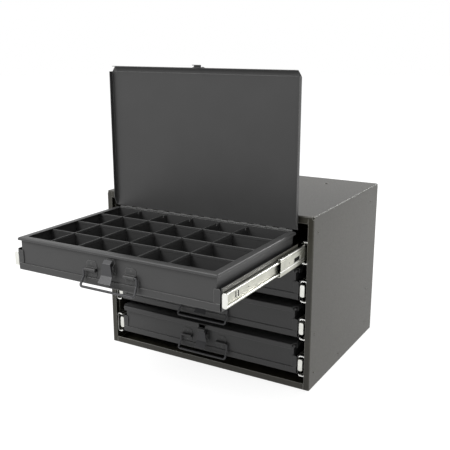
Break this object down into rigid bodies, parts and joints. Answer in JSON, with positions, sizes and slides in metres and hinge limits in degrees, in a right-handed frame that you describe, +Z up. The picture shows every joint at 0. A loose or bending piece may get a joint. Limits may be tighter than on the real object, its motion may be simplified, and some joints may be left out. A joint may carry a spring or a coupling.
{
  "type": "small parts organizer rack",
  "caption": "Steel rack of slide-out compartment boxes with hinged lids, wire handles and ball-bearing slides, the top box pulled out and open.",
  "frame": {"origin": "centre of the rack's footprint, on the face it stands on, without the box that is pulled out", "axes": "+Z up, -Y out of the front, +X to the right of someone facing the front"},
  "size_m": [0.527, 0.7337, 0.6755],
  "materials": {
    "rack_enamel": "fine textured grey enamel",
    "box_enamel": "satin grey enamel",
    "zinc_plate": "bright zinc plating",
    "hardware": "grey enamel over steel wire and pressings",
    "bright_steel": "plain bright steel"
  },
  "bodies": {
    "rack": {"rack_shell": "rack_enamel", "rack_floor": "rack_enamel", "rack_back": "rack_enamel", "rack_uprights": "rack_enamel", "slide_outers_left": "zinc_plate", "slide_outers_right": "zinc_plate"},
    "slide_pair_1": {"slide_middle_1": "zinc_plate"},
    "drawer_1": {"carrier_1": "box_enamel", "slide_inner_1": "zinc_plate", "box_1": "box_enamel", "long_dividers_1": "box_enamel", "cross_dividers_1": "box_enamel", "hinge_pin_1": "bright_steel", "bail_brackets_1": "box_enamel", "latch_base_1": "box_enamel"},
    "lid_leaf_1": {"lid_1": "box_enamel", "lid_catch_1": "box_enamel"},
    "handle_1": {"bail_1": "hardware"},
    "catch_1": {"latch_lever_1": "hardware"},
    "slide_pair_2": {"slide_middle_2": "zinc_plate"},
    "drawer_2": {"carrier_2": "box_enamel", "slide_inner_2": "zinc_plate", "box_2": "box_enamel", "long_dividers_2": "box_enamel", "cross_dividers_2": "box_enamel", "hinge_pin_2": "bright_steel", "bail_brackets_2": "box_enamel", "latch_base_2": "box_enamel"},
    "lid_leaf_2": {"lid_2": "box_enamel", "lid_catch_2": "box_enamel"},
    "handle_2": {"bail_2": "hardware"},
    "catch_2": {"latch_lever_2": "hardware"},
    "slide_pair_3": {"slide_middle_3": "zinc_plate"},
    "drawer_3": {"carrier_3": "box_enamel", "slide_inner_3": "zinc_plate", "box_3": "box_enamel", "long_dividers_3": "box_enamel", "cross_dividers_3": "box_enamel", "hinge_pin_3": "bright_steel", "bail_brackets_3": "box_enamel", "latch_base_3": "box_enamel"},
    "lid_leaf_3": {"lid_3": "box_enamel", "lid_catch_3": "box_enamel"},
    "handle_3": {"bail_3": "hardware"},
    "catch_3": {"latch_lever_3": "hardware"},
    "slide_pair_4": {"slide_middle_4": "zinc_plate"},
    "drawer_4": {"carrier_4": "box_enamel", "slide_inner_4": "zinc_plate", "box_4": "box_enamel", "long_dividers_4": "box_enamel", "cross_dividers_4": "box_enamel", "hinge_pin_4": "bright_steel", "bail_brackets_4": "box_enamel", "latch_base_4": "box_enamel"},
    "lid_leaf_4": {"lid_4": "box_enamel", "lid_catch_4": "box_enamel"},
    "handle_4": {"bail_4": "hardware"},
    "catch_4": {"latch_lever_4": "hardware"}
  },
  "joints": [
    {"name": "drawer_slide_1", "type": "slide", "parent": "rack", "child": "drawer_1", "axis": [0, -1, 0], "range_m": [-0.003, 0.029]},
    {"name": "middle_slide_1", "type": "slide", "parent": "rack", "child": "slide_pair_1", "axis": [0, -1, 0], "range_m": [-0.0015, 0.0145]},
    {"name": "lid_hinge_1", "type": "hinge", "parent": "drawer_1", "child": "lid_leaf_1", "pos_m": [0, -0.2059, 0.3502], "axis": [1, 0, 0], "range_deg": [0, 90]},
    {"name": "handle_hinge_1", "type": "hinge", "parent": "drawer_1", "child": "handle_1", "pos_m": [0, -0.5202, 0.3135], "axis": [-1, 0, 0], "range_deg": [0, 110]},
    {"name": "catch_hinge_1", "type": "hinge", "parent": "drawer_1", "child": "catch_1", "pos_m": [0, -0.5217, 0.3245], "axis": [-1, 0, 0], "range_deg": [0, 20], "stiffness_Nm_per_rad": 0.03, "springref_deg": -17.19},
    {"name": "drawer_slide_2", "type": "slide", "parent": "rack", "child": "drawer_2", "axis": [0, -1, 0], "range_m": [0, 0.35]},
    {"name": "middle_slide_2", "type": "slide", "parent": "rack", "child": "slide_pair_2", "axis": [0, -1, 0], "range_m": [0, 0.175]},
    {"name": "lid_hinge_2", "type": "hinge", "parent": "drawer_2", "child": "lid_leaf_2", "pos_m": [0, 0.1151, 0.2662], "axis": [-1, 0, 0], "range_deg": [0, 1.5]},
    {"name": "handle_hinge_2", "type": "hinge", "parent": "drawer_2", "child": "handle_2", "pos_m": [0, -0.1992, 0.2295], "axis": [-1, 0, 0], "range_deg": [0, 110]},
    {"name": "catch_hinge_2", "type": "hinge", "parent": "drawer_2", "child": "catch_2", "pos_m": [0, -0.2007, 0.2405], "axis": [-1, 0, 0], "range_deg": [0, 20], "stiffness_Nm_per_rad": 0.03, "springref_deg": -17.19},
    {"name": "drawer_slide_3", "type": "slide", "parent": "rack", "child": "drawer_3", "axis": [0, -1, 0], "range_m": [0, 0.35]},
    {"name": "middle_slide_3", "type": "slide", "parent": "rack", "child": "slide_pair_3", "axis": [0, -1, 0], "range_m": [0, 0.175]},
    {"name": "lid_hinge_3", "type": "hinge", "parent": "drawer_3", "child": "lid_leaf_3", "pos_m": [0, 0.1151, 0.1822], "axis": [-1, 0, 0], "range_deg": [0, 1.5]},
    {"name": "handle_hinge_3", "type": "hinge", "parent": "drawer_3", "child": "handle_3", "pos_m": [0, -0.1992, 0.1455], "axis": [-1, 0, 0], "range_deg": [0, 110]},
    {"name": "catch_hinge_3", "type": "hinge", "parent": "drawer_3", "child": "catch_3", "pos_m": [0, -0.2007, 0.1565], "axis": [-1, 0, 0], "range_deg": [0, 20], "stiffness_Nm_per_rad": 0.03, "springref_deg": -17.19},
    {"name": "drawer_slide_4", "type": "slide", "parent": "rack", "child": "drawer_4", "axis": [0, -1, 0], "range_m": [0, 0.35]},
    {"name": "middle_slide_4", "type": "slide", "parent": "rack", "child": "slide_pair_4", "axis": [0, -1, 0], "range_m": [0, 0.175]},
    {"name": "lid_hinge_4", "type": "hinge", "parent": "drawer_4", "child": "lid_leaf_4", "pos_m": [0, 0.1151, 0.0982], "axis": [-1, 0, 0], "range_deg": [0, 1.5]},
    {"name": "handle_hinge_4", "type": "hinge", "parent": "drawer_4", "child": "handle_4", "pos_m": [0, -0.1992, 0.0615], "axis": [-1, 0, 0], "range_deg": [0, 110]},
    {"name": "catch_hinge_4", "type": "hinge", "parent": "drawer_4", "child": "catch_4", "pos_m": [0, -0.2007, 0.0725], "axis": [-1, 0, 0], "range_deg": [0, 20], "stiffness_Nm_per_rad": 0.03, "springref_deg": -17.19}
  ],
  "couplings": [
    {"joint": "middle_slide_1", "follows": "drawer_slide_1", "ratio": 0.5},
    {"joint": "middle_slide_2", "follows": "drawer_slide_2", "ratio": 0.5},
    {"joint": "middle_slide_3", "follows": "drawer_slide_3", "ratio": 0.5},
    {"joint": "middle_slide_4", "follows": "drawer_slide_4", "ratio": 0.5}
  ]
}
